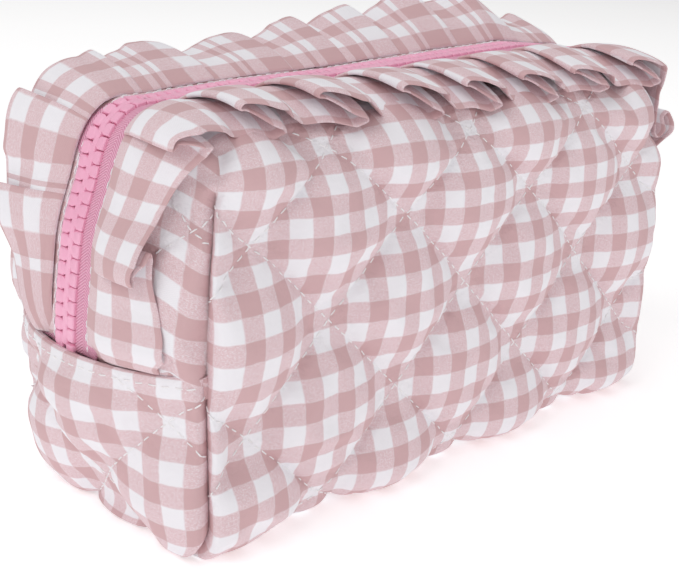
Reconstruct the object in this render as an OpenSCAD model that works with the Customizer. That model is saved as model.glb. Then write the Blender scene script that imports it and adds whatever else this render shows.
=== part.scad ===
// Quilted makeup bag with a zip over the top and a pleated frill on each side of it.
// X runs along the bag, -Y is the front wall, +Z is up, and the origin is the centre of the base.

/* [Bag] */
// Length between the seams at the corners of the front wall
seam_l = 205; // [170:1:240]
// How far each end wall stands out past its corner seams, round a corner of the same radius
end_bulge = 12; // [8:0.5:14]
// Depth over the front and back walls
bag_d = 86; // [74:1:110]
// Height from the base to the top
bag_h = 124; // [105:1:150]
// Radius of the edges round the base
base_r = 12; // [9:1:16]
// Radius of the long top edges
shoulder_r = 22; // [16:1:28]
// Radius of the turn that the zip takes from an end wall to the top
turn_r = 18; // [14:1:26]
// Height of the seam across each end wall, where the zip begins and ends
seam_h = 54; // [44:1:64]

/* [Walls] */
// Thickness of the gingham cover
cover_t = 1; // [0.6:0.1:1.5]
// Thickness of the wadding
wadding_t = 5; // [3:0.5:7]
// Thickness of the lining
lining_t = 0.8; // [0.5:0.1:1.2]
// Width of the turned hem of each end panel
panel_hem_w = 6; // [4:0.5:9]
// Length of the seam binding's flat side
binding_w = 6; // [4:0.5:8]
// Thickness of the seam binding
binding_t = 1.2; // [0.8:0.1:2]

/* [Zip] */
// Width of the gap that the zip fills
zip_gap = 16; // [14:0.5:20]
// Thickness of the zip's tape
tape_t = 0.7; // [0.5:0.1:1]
// Width of tape that is sewn into the wall
tape_sewn_w = 5; // [4:0.5:7]
// Length of the tape's tails under the end seams
tail_l = 12; // [8:1:16]
// Distance from one tooth to the next on the same tape
tooth_pitch = 3.8; // [3:0.1:5]
// Width of a tooth across the chain
tooth_w = 3.4; // [2.8:0.1:3.8]
// Thickness of a tooth
tooth_t = 2.6; // [2:0.1:3]
// Half of the gap between the two rows of teeth, where the slider's post runs
post_gap = 0.7; // [0.5:0.1:1]
// Height of the end stops
stop_h = 3.2; // [2.5:0.1:4]

/* [Frill] */
// Width of the frill from its seam to its folded edge
frill_w = 24; // [16:1:28]
// Distance from one pleat to the next
pleat_pitch = 28; // [18:1:34]
// Height of a pleat's loop
pleat_h = 4.5; // [3:0.5:6]
// Thickness of the frill where a pleat lies flat
frill_t = 1.6; // [1:0.1:2.4]
// How far the front frill lifts off the top, in degrees
front_lift = 5; // [4:1:30]
// How far the back frill stands up from the top, in degrees
back_lift = 28; // [15:1:60]

/* [Slider and pull] */
// Length of the slider
slider_l = 11; // [9:0.5:14]
// Width of the slider
slider_w = 10; // [9:0.5:12]
// Thickness of each of the slider's plates
plate_t = 1.1; // [0.8:0.1:1.5]
// Gap between a plate and the teeth
plate_clear = 0.3; // [0.2:0.05:0.5]
// Thickness of the bridge over the crossbar
bridge_t = 0.9; // [0.7:0.1:1.5]
// Width of the bridge
bridge_w = 2.4; // [2:0.1:3]
// Length of the pull
pull_l = 27; // [18:1:34]
// Width of the pull
pull_w = 8; // [6.5:0.5:11]
// Thickness of the pull
pull_t = 1.5; // [1.2:0.1:2]
// Radius of the pull's crossbar, which turns under the bridge
crossbar_r = 0.8; // [0.6:0.05:0.9]
// Gap between the hanging pull and the hem that it hangs over
pull_clear = 0.4; // [0.3:0.1:1]

/* [Hidden] */
$fn = 48;

bag_l = seam_l + 2 * end_bulge;
wall_t = cover_t + wadding_t + lining_t;
far = 400;                                   // past every face of the bag
split_gap = 0.3;                             // between the tub and the two upper halves
gap_half = zip_gap / 2;
sewn_edge = gap_half + tape_sewn_w;          // the wadding is trimmed back to here
tape_depth = 3;                              // from the cover's face to the tape's face
tape_mid = tape_depth + tape_t / 2;
teeth_edge = post_gap + tooth_w;
frill_seam = gap_half + 2;
frill_off = 0.4;                             // between a pleat and the cover under it

// The path of the zip: up the left end, over the top, and down the right end
path_r = turn_r - tape_mid;
path_x = bag_l / 2 - tape_mid;
path_top = bag_h - tape_mid;
rise_l = path_top - path_r - seam_h;
turn_l = path_r * PI / 2;
top_l = 2 * (path_x - path_r);
path_l = 2 * (rise_l + turn_l) + top_l;
chain_start = stop_h + 2;                    // clear path below the first tooth
tooth_count = floor((path_l - 2 * chain_start) / tooth_pitch);
chain_margin = (path_l - (tooth_count - 1) * tooth_pitch) / 2;

slider_z = seam_h + chain_start + slider_l / 2 + 1;
slider_x = path_x;                           // the chain's middle on the right end wall
plate_out = tooth_t / 2 + plate_clear;
post_clear = 0.25;
post_l = slider_l * 0.35;
bridge_x = slider_x + plate_out + plate_t;
bore_x = bag_l / 2 + cover_t + pull_clear + pull_t / 2;
crossbar_clear = 0.05;
bridge_h = bore_x - bridge_x + crossbar_r + bridge_t;
bridge_l = slider_l * 0.76;
lock_t = 0.45;
lock_l = 1.4;
lock_clear = 0.1;

gingham = [0.95, 0.72, 0.75];
gingham_light = [0.98, 0.86, 0.87];
white = [0.97, 0.96, 0.96];
zip_pink = [0.93, 0.50, 0.63];
metal = [0.90, 0.62, 0.70];

// The radius that an edge keeps at a depth below the cover's face
function edge_r(r, inset) = max(r - inset, 1);

// A rectangle from z0 to z1 with round corners, drawn in x and y
module round_profile(half_w, z0, z1, r_low, r_high) {
    translate([-half_w, z0 + r_low]) square([2 * half_w, z1 - z0 - r_low - r_high]);
    translate([-half_w + r_low, z0]) square([2 * (half_w - r_low), r_low]);
    translate([-half_w + r_high, z1 - r_high]) square([2 * (half_w - r_high), r_high]);
    for (side = [-1, 1]) {
        translate([side * (half_w - r_low), z0 + r_low]) circle(r_low);
        translate([side * (half_w - r_high), z1 - r_high]) circle(r_high);
    }
}

// The bag's outline from above
module plan(inset) {
    half_d = bag_d / 2 - inset;
    round_profile(bag_l / 2 - inset, -half_d, half_d, edge_r(end_bulge, inset), edge_r(end_bulge, inset));
}

// The bag's side view, which the zip follows
module front_profile(inset) {
    round_profile(bag_l / 2 - inset, inset, bag_h - inset, edge_r(base_r, inset), edge_r(turn_r, inset));
}

module solid_bag(inset) {
    intersection() {
        linear_extrude(height = far) plan(inset);
        rotate([90, 0, 0]) linear_extrude(height = far, center = true) front_profile(inset);
        rotate([90, 0, 90]) linear_extrude(height = far, center = true)
            round_profile(bag_d / 2 - inset, inset, bag_h - inset, edge_r(base_r, inset), edge_r(shoulder_r, inset));
    }
}

// One layer of the wall, between two depths below the cover's face
module layer(inset, thick) {
    difference() {
        solid_bag(inset);
        solid_bag(inset + thick);
    }
}

module above_seam() {
    translate([-far / 2, -far / 2, seam_h + split_gap]) cube([far, far, far]);
}

module below_seam() {
    translate([-far / 2, -far / 2, -far + seam_h]) cube([far, far, far]);
}

// side is -1 for the front half and 1 for the back half
module beyond(side, y) {
    translate([-far / 2, side > 0 ? y : -far - y, -far / 2]) cube([far, far, far]);
}

module half_layer(side, inset, thick, edge) {
    intersection() {
        layer(inset, thick);
        above_seam();
        beyond(side, edge);
    }
}

// A band of cloth that follows the zip, between two distances from the middle
module zip_band(side, inset, thick, y0, y1) {
    intersection() {
        translate([0, side > 0 ? y1 : -y0, 0]) rotate([90, 0, 0]) linear_extrude(height = y1 - y0)
            difference() {
                front_profile(inset);
                front_profile(inset + thick);
            }
        above_seam();
    }
}

// Children stand at distance s along the zip's path, with X along the path and Z outwards
module on_path(s, out = 0) {
    back_s = path_l - s;
    flip = s > path_l / 2;
    run = flip ? back_s : s;
    lift = run < rise_l ? 90 : run < rise_l + turn_l ? 90 - (run - rise_l) / path_r * 180 / PI : 0;
    centre = [-path_x + path_r, path_top - path_r];
    x = run < rise_l ? -path_x - out
        : run < rise_l + turn_l ? centre[0] - (path_r + out) * sin(lift)
        : centre[0] + run - rise_l - turn_l;
    z = run < rise_l ? seam_h + run
        : run < rise_l + turn_l ? centre[1] + (path_r + out) * cos(lift)
        : path_top + out;
    translate([flip ? -x : x, 0, z]) rotate([0, flip ? lift : -lift, 0]) children();
}

// A strip of wall between the corner seams, or past them, for the tub
module tub_part(inset, thick) {
    intersection() {
        layer(inset, thick);
        below_seam();
    }
}

module between_seams() {
    translate([-seam_l / 2, -far / 2, -far / 2]) cube([seam_l, far, far]);
}

module base_cover() color(gingham) intersection() {
    tub_part(0, cover_t);
    between_seams();
}

// The lower end wall, with its turned hem along the seam
module end_panel(side) color(gingham) {
    difference() {
        tub_part(0, cover_t);
        between_seams();
        translate([side > 0 ? -far : 0, -far / 2, -far / 2]) cube([far, far, far]);
    }
    intersection() {
        layer(-cover_t, cover_t);
        translate([side > 0 ? seam_l / 2 + 1 : -far - seam_l / 2 - 1, -bag_d / 2, seam_h - panel_hem_w])
            cube([far, bag_d, panel_hem_w]);
    }
}

module left_end_panel() end_panel(-1);
module right_end_panel() end_panel(1);
module base_wadding() color(white) tub_part(cover_t, wadding_t);
module base_lining() color(gingham_light) tub_part(cover_t + wadding_t, lining_t);

// Tape over the raw corner seams, flat on the inside of each end wall
module seam_bindings() color(white)
    for (side_x = [-1, 1], side_y = [-1, 1]) mirror([side_x < 0 ? 1 : 0, 0, 0])
        mirror([0, side_y < 0 ? 1 : 0, 0]) {
            flat_edge = bag_d / 2 - wall_t - edge_r(end_bulge, wall_t);
            translate([bag_l / 2 - wall_t - binding_t, flat_edge - binding_w, base_r])
                cube([binding_t, binding_w, seam_h - base_r - panel_hem_w]);
        }

// The zip's tails, caught under the end seams against the lining
module tape_tails() color(zip_pink) intersection() {
    layer(wall_t, tape_t);
    translate([-far / 2, -sewn_edge, seam_h - tail_l]) cube([far, 2 * sewn_edge, tail_l]);
}

module half_cover(side) color(gingham) half_layer(side, 0, cover_t, gap_half);
module half_wadding(side) color(white) half_layer(side, cover_t, wadding_t, sewn_edge);
module half_lining(side) color(gingham_light) half_layer(side, cover_t + wadding_t, lining_t, gap_half);

// The turned edges of the cover and of the lining, above and below the tape
module zip_hem(side) color(gingham) {
    zip_band(side, cover_t, tape_depth - cover_t, gap_half, sewn_edge);
    zip_band(side, tape_depth + tape_t, cover_t + wadding_t - tape_depth - tape_t, gap_half, sewn_edge);
}

module zip_tape(side) color(zip_pink) zip_band(side, tape_depth, tape_t, teeth_edge, sewn_edge);

// A moulded tooth: a broad foot on the tape, a neck, and a head at the chain's middle
module tooth() {
    foot = tooth_pitch * 0.62;
    neck = tooth_pitch * 0.34;
    head = tooth_pitch * 0.5;
    linear_extrude(height = tooth_t, center = true) polygon([
        [-foot / 2, teeth_edge], [foot / 2, teeth_edge], [foot / 2, teeth_edge - tooth_w * 0.35],
        [neck / 2, teeth_edge - tooth_w * 0.55], [head / 2, post_gap + tooth_w * 0.2],
        [head / 2 * 0.7, post_gap], [-head / 2 * 0.7, post_gap], [-head / 2, post_gap + tooth_w * 0.2],
        [-neck / 2, teeth_edge - tooth_w * 0.55], [-foot / 2, teeth_edge - tooth_w * 0.35]]);
}

// The back row is half a pitch on from the front row, so that the heads fall between each other
module zip_teeth(side) color(zip_pink)
    for (i = [0 : tooth_count - (side > 0 ? 2 : 1)])
        on_path(chain_margin + (i + (side > 0 ? 0.5 : 0)) * tooth_pitch)
            mirror([0, side > 0 ? 0 : 1, 0]) tooth();

// One stop at each end of a row of teeth
module zip_stops(side) color(zip_pink)
    for (s = [stop_h / 2 + 0.4, path_l - stop_h / 2 - 0.4])
        on_path(s) mirror([0, side > 0 ? 0 : 1, 0])
            translate([-stop_h / 2, post_gap, -tooth_t / 2]) cube([stop_h, tooth_w, tooth_t]);

// One pleat of the frill: it lies flat at its start and lifts to a loop at its end
module pleat(length) {
    translate([-length / 2, 0, 0]) rotate([90, 0, 0]) mirror([0, 0, 1])
        linear_extrude(height = frill_w) polygon([
            [0, 0], [length, 0], [length, pleat_h], [length * 0.72, pleat_h + frill_t],
            [length * 0.2, frill_t]]);
}

module frill(side, lift) color(gingham_light) {
    count = round(path_l / pleat_pitch);
    step = (path_l - 2 * frill_off) / count;
    for (i = [0 : count - 1])
        on_path(frill_off + (i + 0.5) * step, tape_mid + frill_off)
            mirror([0, side > 0 ? 0 : 1, 0]) translate([0, frill_seam, 0])
                rotate([lift, 0, 0]) pleat(step - 0.2);
}

module front_cover() half_cover(-1);
module front_wadding() half_wadding(-1);
module front_lining() half_lining(-1);
module front_zip_hem() zip_hem(-1);
module front_zip_tape() zip_tape(-1);
module front_zip_teeth() zip_teeth(-1);
module front_zip_stops() zip_stops(-1);
module front_frill() frill(-1, front_lift);
module back_cover() half_cover(1);
module back_wadding() half_wadding(1);
module back_lining() half_lining(1);
module back_zip_hem() zip_hem(1);
module back_zip_tape() zip_tape(1);
module back_zip_teeth() zip_teeth(1);
module back_zip_stops() zip_stops(1);
module back_frill() frill(1, back_lift);

// A plate of the slider: wide where the two rows come in, narrow where they leave as one
module slider_plate() {
    linear_extrude(height = plate_t) intersection() {
        square([slider_l, slider_w], center = true);
        translate([slider_l * 0.15, 0]) circle(slider_l * 0.72);
    }
}

// Children are drawn with X down the zip, towards its end stop, and Z out of the end wall
module on_slider() translate([slider_x, 0, slider_z]) rotate([0, 90, 0]) children();

// Two plates and the post between them, which parts the two rows of teeth
module slider_body() color(metal) on_slider() {
    translate([0, 0, plate_out]) slider_plate();
    translate([0, 0, -plate_out - plate_t]) slider_plate();
    post_w = 2 * (post_gap - post_clear);
    translate([slider_l / 2 - post_l, -post_w / 2, -plate_out]) cube([post_l, post_w, 2 * plate_out]);
}

// The arch over the crossbar
module slider_bridge() color(metal) translate([bridge_x, 0, slider_z]) {
    difference() {
        translate([0, -bridge_w / 2, -bridge_l / 2]) cube([bridge_h, bridge_w, bridge_l]);
        translate([bore_x - bridge_x, 0, 0]) rotate([90, 0, 0])
            cylinder(r = crossbar_r + crossbar_clear, h = bridge_w + 1, center = true);
        translate([0, -bridge_w, -bridge_l * 0.3])
            cube([lock_t + 2 * lock_clear, 2 * bridge_w, lock_l + 2 * lock_clear]);
    }
}

// The leaf that holds the slider still when the pull hangs down
module slider_lock() color(metal)
    translate([bridge_x + lock_clear, -bridge_w / 2 + lock_clear, slider_z - bridge_l * 0.3 + lock_clear])
        cube([lock_t, bridge_w - 2 * lock_clear, lock_l]);

// The crossbar, two cheeks and a flat tab with a finger hole
module pull_tab() color(zip_pink) translate([bore_x, 0, slider_z]) {
    cheek_y = bridge_w / 2 + 0.3;
    rotate([90, 0, 0]) cylinder(r = crossbar_r, h = pull_w, center = true);
    hang = slider_l / 2 - 1;
    for (side = [-1, 1])
        translate([-pull_t / 2, side > 0 ? cheek_y : -pull_w / 2, -hang])
            cube([pull_t, pull_w / 2 - cheek_y, hang + crossbar_r]);
    difference() {
        translate([-pull_t / 2, 0, -hang]) rotate([0, 90, 0]) rotate([0, 0, 180]) linear_extrude(height = pull_t) {
            translate([-(pull_l - hang - pull_w / 2), -pull_w / 2]) square([pull_l - hang - pull_w / 2, pull_w]);
            translate([-(pull_l - hang - pull_w / 2), 0]) circle(pull_w / 2);
        }
        translate([0, 0, -pull_l + pull_w / 2]) rotate([0, 90, 0])
            cylinder(r = pull_w * 0.28, h = pull_t + 1, center = true);
    }
}

base_cover();
left_end_panel();
right_end_panel();
base_wadding();
base_lining();
seam_bindings();
tape_tails();
front_cover();
front_wadding();
front_lining();
front_zip_hem();
front_zip_tape();
front_zip_teeth();
front_zip_stops();
front_frill();
back_cover();
back_wadding();
back_lining();
back_zip_hem();
back_zip_tape();
back_zip_teeth();
back_zip_stops();
back_frill();
slider_body();
slider_bridge();
slider_lock();
pull_tab();
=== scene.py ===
import math

import bpy
import numpy as np
from mathutils import Matrix, Vector
from mathutils.bvhtree import BVHTree
from mathutils.kdtree import KDTree


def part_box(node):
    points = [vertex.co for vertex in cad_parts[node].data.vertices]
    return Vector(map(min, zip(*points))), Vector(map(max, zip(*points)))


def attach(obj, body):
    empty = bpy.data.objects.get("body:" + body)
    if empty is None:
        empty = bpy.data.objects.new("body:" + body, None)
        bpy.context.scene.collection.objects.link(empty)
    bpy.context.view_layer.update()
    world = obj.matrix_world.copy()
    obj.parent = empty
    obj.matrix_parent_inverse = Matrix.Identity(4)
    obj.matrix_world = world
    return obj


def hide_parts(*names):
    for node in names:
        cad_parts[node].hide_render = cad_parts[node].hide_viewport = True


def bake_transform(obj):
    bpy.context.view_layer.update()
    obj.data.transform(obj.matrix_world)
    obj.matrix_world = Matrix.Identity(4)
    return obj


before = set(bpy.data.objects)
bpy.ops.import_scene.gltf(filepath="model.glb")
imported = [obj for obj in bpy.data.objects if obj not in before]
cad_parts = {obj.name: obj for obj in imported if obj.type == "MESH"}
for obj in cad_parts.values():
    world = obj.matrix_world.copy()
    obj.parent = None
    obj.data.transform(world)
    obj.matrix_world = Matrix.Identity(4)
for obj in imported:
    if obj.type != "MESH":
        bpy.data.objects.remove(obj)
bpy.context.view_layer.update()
bpy.ops.object.select_all(action="DESELECT")
mm = 0.001
sides = ((-1, "front"), (1, "back"))
ends = ((-1, "left"), (1, "right"))

cameraSetup = {
    "place": (-0.2729, -0.2557, 0.1723),
    "turn": 45.3,      # how far the view turns from +Y towards +X, in degrees
    "tilt": 18.5,      # how far it looks down
    "roll": 2.95,
    "lens": 62.4,
}


def addCamera(setup):
    turn, tilt = math.radians(setup["turn"]), math.radians(setup["tilt"])
    ahead = Vector((math.sin(turn) * math.cos(tilt), math.cos(turn) * math.cos(tilt), -math.sin(tilt)))
    data = bpy.data.cameras.new("camera")
    data.lens = setup["lens"]
    data.sensor_width = 36
    data.clip_start, data.clip_end = 0.01, 20
    cam = bpy.data.objects.new("camera", data)
    bpy.context.scene.collection.objects.link(cam)
    look = ahead.to_track_quat("-Z", "Y").to_matrix().to_4x4()
    cam.matrix_world = Matrix.Translation(setup["place"]) @ look @ Matrix.Rotation(
        math.radians(setup["roll"]), 4, "Z")
    bpy.context.scene.camera = cam
    bpy.context.scene.view_settings.view_transform = "Standard"
    bpy.context.scene.camera = cam
    bpy.context.scene.view_settings.view_transform = "Standard"

addCamera(cameraSetup)
print("camera ready")


class Wire:
    # a socket that can be added and multiplied like a number
    def __init__(self, paint, socket):
        self.paint, self.socket = paint, socket

    def sum(self, kind, *others):
        return self.paint.add("ShaderNodeMath", {"operation": kind}, *others)

    def __add__(self, other):
        return self.sum("ADD", self, other)

    def __sub__(self, other):
        return self.sum("SUBTRACT", self, other)

    def __rsub__(self, other):
        return self.sum("SUBTRACT", other, self)

    def __mul__(self, other):
        return self.sum("MULTIPLY", self, other)

    def __truediv__(self, other):
        return self.sum("DIVIDE", self, other)

    __radd__, __rmul__ = __add__, __mul__

    def wrap(self):
        return self.sum("FRACT", self)

    def sine(self):
        return self.sum("SINE", self)

    def size(self):
        return self.sum("ABSOLUTE", self)

    def clamped(self):
        return self.sum("MINIMUM", self.sum("MAXIMUM", self, 0.0), 1.0)


class Paint:
    # one material's nodes
    def __init__(self, name):
        self.material = bpy.data.materials.new(name)
        self.material.use_nodes = True
        self.tree = self.material.node_tree
        self.tree.nodes.clear()

    def link(self, socket, value):
        if isinstance(value, Wire):
            self.tree.links.new(value.socket, socket)
        else:
            socket.default_value = value

    def add(self, kind, settings=None, *inputs, **named):
        # a node with its settings, its inputs by order or by name, and its first output
        node = self.tree.nodes.new(kind)
        for key, value in (settings or {}).items():
            setattr(node, key, value)
        for socket, value in zip(node.inputs, inputs):
            self.link(socket, value)
        for key, value in named.items():
            self.link(node.inputs[key.replace("_", " ")], value)
        self.last = node
        return Wire(self, next((s for s in node.outputs if s.enabled), node.outputs[0]))

    def output(self, name):
        # another output of the node that was added last
        return Wire(self, self.last.outputs[name])

    def clothPlace(self):
        # across and along the cloth, in millimetres
        uv = self.add("ShaderNodeUVMap", {"uv_map": "cloth"})
        self.add("ShaderNodeSeparateXYZ", None, uv)
        return self.output("X"), self.output("Y"), uv

    def mix(self, share, first, second):
        self.add("ShaderNodeMix", {"data_type": "RGBA"})
        node = self.last
        self.link(node.inputs["Factor"], share)
        for socket, colour in zip([s for s in node.inputs if s.type == "RGBA"], (first, second)):
            self.link(socket, colour)
        return Wire(self, next(s for s in node.outputs if s.type == "RGBA"))

    def tint(self, colour, factor):
        # a colour made lighter or darker by a number
        return self.add("ShaderNodeVectorMath", {"operation": "SCALE"}, colour, Scale=factor)

    def noise(self, place, scale, detail=2.0, rough=0.5):
        self.add("ShaderNodeTexNoise", {"noise_dimensions": "3D"}, Vector=place, Scale=scale,
                 Detail=detail, Roughness=rough)
        return next(self.output(s.name) for s in self.last.outputs if s.name in ("Fac", "Factor"))

    def bump(self, height, strength, distance, under=None):
        extra = {"Normal": under} if under is not None else {}
        return self.add("ShaderNodeBump", None, Strength=strength, Distance=distance, Height=height, **extra)

    def finish(self, **sockets):
        shader = self.add("ShaderNodeBsdfPrincipled", None, **sockets)
        surface = self.tree.nodes.new("ShaderNodeOutputMaterial").inputs["Surface"]
        self.tree.links.new(shader.socket, surface)
        return self.material


def rgb(*colour):
    return (*colour, 1.0)


cloth = {
    "check": 6.0,                        # width of one check, in millimetres
    "white": rgb(0.90, 0.88, 0.92),
    "single": rgb(0.765, 0.56, 0.59),
    "double": rgb(0.655, 0.43, 0.445),
    "thread": 0.55,                      # spacing of the woven threads that show
    "edgeSoft": 0.22,
}


def ginghamPaint(name, grain=1.0):
    p = Paint(name)
    across, along, uv = p.clothPlace()
    period = 2 * cloth["check"]
    waver = p.noise(uv, 0.35, 2.0)
    bandAcross = ((across + (waver - 0.5) * 0.5) / period).wrap()
    bandAlong = ((along + (waver - 0.5) * 0.5) / period).wrap()
    soft = cloth["edgeSoft"] / period

    def stripe(band):
        # one in the coloured half of the period, with a slightly soft edge
        up = ((band - soft) / (2 * soft) + 0.5).clamped()
        down = (((0.5 + soft) - band) / (2 * soft) + 0.5).clamped()
        return up * down

    warp, weft = stripe(bandAcross), stripe(bandAlong)
    threadAcross = (across * (2 * math.pi / cloth["thread"])).sine()
    threadAlong = (along * (2 * math.pi / cloth["thread"])).sine()
    over = threadAcross * threadAlong * 0.5 + 0.5
    slub = p.noise(uv, 2.6, 3.0, 0.7)
    fleck = p.noise(uv, 1.1, 2.0, 0.6)
    both = warp * weft
    one = warp + weft - both * 2.0
    colour = p.mix(one, cloth["white"], cloth["single"])
    colour = p.mix(both, colour, cloth["double"])
    # where only one set of threads is pink the white ones show through as a pale grain
    pale = one * ((slub - 0.47) * 4.5 + over * 0.2).clamped() * (0.6 * grain)
    colour = p.mix(pale, colour, cloth["white"])
    deep = (one + both) * ((0.52 - fleck) * 3.4).clamped() * (0.5 * grain)
    colour = p.mix(deep, colour, cloth["double"])
    colour = p.tint(colour, 0.94 + over * 0.05 + slub * 0.06)
    weave = p.bump(over * 0.6 + slub * 0.7, 0.35, 0.00012)
    creases = p.noise(uv, 0.16, 3.0, 0.55)
    p.add("ShaderNodeAttribute", {"attribute_name": "pucker"})
    pucker = p.output("Fac")
    gathers = p.noise(uv, 0.42, 2.0, 0.5) * pucker
    relief = p.bump(creases * 0.8 + gathers * 1.3, 0.6, 0.0012, weave)
    return p.finish(Base_Color=colour, Roughness=0.82 + slub * 0.1, Normal=relief,
                    Specular_IOR_Level=0.2, Sheen_Weight=0.12, Sheen_Roughness=0.5)


def liningPaint():
    p = Paint("paleCottonLining")
    across, along, uv = p.clothPlace()
    threads = (across * 9.0).sine() * (along * 9.0).sine()
    slub = p.noise(uv, 1.6, 3.0, 0.6)
    colour = p.mix(slub, rgb(0.86, 0.78, 0.79), rgb(0.93, 0.90, 0.90))
    relief = p.bump(p.noise(uv, 0.2, 3.0), 0.4, 0.001, p.bump(threads + slub, 0.3, 0.0001))
    return p.finish(Base_Color=colour, Roughness=0.85 + slub * 0.08, Normal=relief,
                    Specular_IOR_Level=0.2, Sheen_Weight=0.1, Sheen_Roughness=0.5)


def tapePaint():
    # fine slanting ribs that turn back along the middle, as on a herringbone tape
    p = Paint("wovenZipTape")
    across, along, uv = p.clothPlace()
    lean = (across - 7.4).size() * 0.8
    rib = ((along + lean) * (2 * math.pi / 0.85)).sine() * 0.5 + 0.5
    slub = p.noise(uv, 3.0, 2.0)
    colour = p.mix(rib, rgb(0.72, 0.27, 0.42), rgb(0.93, 0.52, 0.67))
    colour = p.tint(colour, 0.9 + slub * 0.2)
    return p.finish(Base_Color=colour, Roughness=0.7 + rib * 0.1,
                    Normal=p.bump(rib + slub * 0.3, 0.7, 0.00025), Specular_IOR_Level=0.3,
                    Sheen_Weight=0.1)


def plainPaint(name, fine, broad, tones, rough, bump=None, **sockets):
    # a colour that varies a little; rough holds the lowest value, the span and the noise that drives it
    p = Paint(name)
    p.add("ShaderNodeTexCoord")
    place = p.output("Object")
    waves = {"fine": p.noise(place, *fine), "broad": p.noise(place, *broad)}
    if bump:
        sockets["Normal"] = p.bump(waves["fine"], *bump)
    return p.finish(Base_Color=p.mix(waves["broad"], *tones), Roughness=rough[0] + waves[rough[2]] * rough[1],
                    **sockets)


gingham = ginghamPaint("cottonGingham")
frillGingham = ginghamPaint("frillGingham", 0.8)
lining = liningPaint()
tapeWeave = tapePaint()
moulded = plainPaint("mouldedZipTeeth", (900.0, 2.0), (60.0, 3.0),
                     (rgb(0.93, 0.42, 0.60), rgb(0.97, 0.51, 0.68)),
                     (0.36, 0.12, "fine"), (0.12, 0.0001), Specular_IOR_Level=0.45)
enamel = plainPaint("pinkEnamelSlider", (700.0, 2.0), (90.0, 3.0),
                    (rgb(0.88, 0.37, 0.54), rgb(0.93, 0.45, 0.61)),
                    (0.22, 0.1, "broad"), (0.08, 0.0001), Coat_Weight=0.4, Specular_IOR_Level=0.5)
whiteThread = plainPaint("whiteSewingThread", (1400.0, 1.0), (1400.0, 1.0),
                         (rgb(0.86, 0.82, 0.84), rgb(0.97, 0.96, 0.97)),
                         (0.5, 0.15, "fine"), (0.3, 0.0001), Sheen_Weight=0.2)
bindingWeave = plainPaint("whiteSeamBinding", (500.0, 2.0), (500.0, 2.0),
                          (rgb(0.84, 0.82, 0.83), rgb(0.93, 0.92, 0.93)),
                          (0.8, 0.1, "fine"), (0.4, 0.0002), Sheen_Weight=0.1)
# a faint glow keeps the floor white away from the lamps
floorWhite = plainPaint("paleFloor", (3.0, 2.0), (3.0, 2.0), (rgb(0.93, 0.93, 0.94), rgb(0.95, 0.95, 0.955)),
                        (0.9, 0.05, "fine"), Emission_Color=rgb(1.0, 0.995, 0.99), Emission_Strength=0.36)
print("materials ready")


slouch = {
    "out": 5.0, "low": 8.0, "crest": 56.0, "high": 110.0,   # the left end's sag, and the heights it spans
    "corner": 4.5,                                          # how far the top left corner has sunk inwards
    # place along the bag, and how far its top stands above its true height there
    "crown": ((-112, -3.2), (-90, -3.2), (-60, -1.4), (-20, -0.4), (30, 2.2), (64, 3.6), (90, 1.5), (108, 0)),
    # place along the bag, and how far the front of its top droops there
    "droop": ((-112, 2.0), (-66, 3.0), (-14, 6.0), (40, 8.5), (80, 8.0), (108, 5.0)),
}


def leaned(points):
    # the soft left end sags outwards round the foot of the zip, and the top rises and droops
    points = np.array(points, float)
    x, y, z = points.T
    out = slouch["out"] * smoothstep(z, slouch["low"], slouch["crest"])
    out = out * (1 - smoothstep(z, slouch["crest"], slouch["high"]))
    shift = -out * np.clip(1 - (y / 50) ** 2, 0, 1) * smoothstep(-x, 84, 104)
    shift += slouch["corner"] * smoothstep(-x, 70, 108) * smoothstep(z, 84, 114)
    rise = np.interp(x, *zip(*slouch["crown"])) * smoothstep(z, 80, 116)
    fall = np.interp(x, *zip(*slouch["droop"])) * smoothstep(-y, 6, 36) * smoothstep(z, 72, 120)
    points[:, 0] += shift
    points[:, 2] += rise - fall
    return points


def makeMesh(name, points, faces, material, uvs=None, lean=True):
    # points in millimetres; uvs hold one pair for each face corner
    if lean:
        points = leaned(points)
    data = bpy.data.meshes.new(name)
    places = [tuple(p) for p in np.asarray(points) * mm]
    data.from_pydata(places, [], [tuple(int(i) for i in f) for f in faces])
    data.materials.append(material)
    if uvs is not None:
        layer = data.uv_layers.new(name="cloth")
        layer.data.foreach_set("uv", np.asarray(uvs, np.float32).ravel())
    data.update()
    obj = bpy.data.objects.new(name, data)
    bpy.context.scene.collection.objects.link(obj)
    data.shade_smooth()
    return obj


def only(obj):
    bpy.ops.object.select_all(action="DESELECT")
    obj.select_set(True)
    bpy.context.view_layer.objects.active = obj


def applyAll(obj):
    only(obj)
    for m in list(obj.modifiers):
        bpy.ops.object.modifier_apply(modifier=m.name)


def subdivide(obj):
    m = obj.modifiers.new("smooth", "SUBSURF")
    m.levels = m.render_levels = 1
    applyAll(obj)


def thicken(obj, thickness):
    m = obj.modifiers.new("thickness", "SOLIDIFY")
    m.thickness, m.offset = thickness * mm, 0
    applyAll(obj)


def pointsOf(obj):
    co = np.zeros(len(obj.data.vertices) * 3)
    obj.data.vertices.foreach_get("co", co)
    return co.reshape(-1, 3) / mm


def setPoints(obj, points):
    obj.data.vertices.foreach_set("co", (np.asarray(points) * mm).astype(np.float32).ravel())
    obj.data.update()


def normalsOf(points, faces):
    total = np.zeros_like(points)
    for f in faces:
        a, b, c = points[f[0]], points[f[1]], points[f[2]]
        if len(f) == 4:
            n = np.cross(points[f[2]] - a, points[f[3]] - b)
        else:
            n = np.cross(b - a, c - a)
        for i in f:
            total[i] += n
    return total / np.maximum(np.linalg.norm(total, axis=1, keepdims=True), 1e-9)


def smoothstep(x, low, high):
    t = np.clip((np.asarray(x, float) - low) / (high - low), 0, 1)
    return t * t * (3 - 2 * t)


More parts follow.
